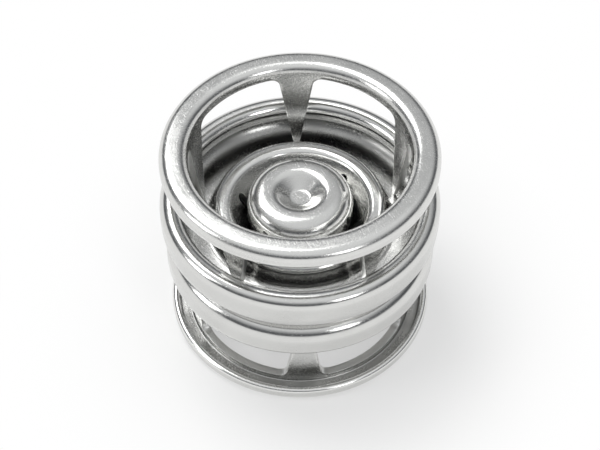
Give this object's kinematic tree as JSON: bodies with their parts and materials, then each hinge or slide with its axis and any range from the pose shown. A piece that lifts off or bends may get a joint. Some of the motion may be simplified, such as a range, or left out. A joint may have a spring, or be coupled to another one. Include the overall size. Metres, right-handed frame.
{
  "type": "snap fastener",
  "caption": "Open-ring prong snap fastener, closed and unset: pronged rings below and above a stud with a hollow post and a socket with a slotted spring collar.",
  "frame": {"origin": "on the axis of the fastener, in the plane that the lower prong ring lies on", "axes": "+Z along the axis, from the stud half to the socket half; +X through one prong of the lower ring and one slot of the collar"},
  "size_m": [0.0098, 0.0098, 0.0082],
  "materials": {
    "ring_nickel": "bright nickel plate on pressed sheet, tumbled, with blunt cut edges",
    "cap_nickel": "bright nickel plate on drawn and rolled sheet, with faint drawing marks"
  },
  "bodies": {
    "stud_half": {"lower_prong_ring": "ring_nickel", "stud": "cap_nickel"},
    "socket_half": {"socket": "cap_nickel", "upper_prong_ring": "ring_nickel"}
  },
  "joints": [
    {"name": "snap_pull", "type": "slide", "parent": "stud_half", "child": "socket_half", "axis": [0, 0, 1], "range_m": [0, 0.004]}
  ]
}
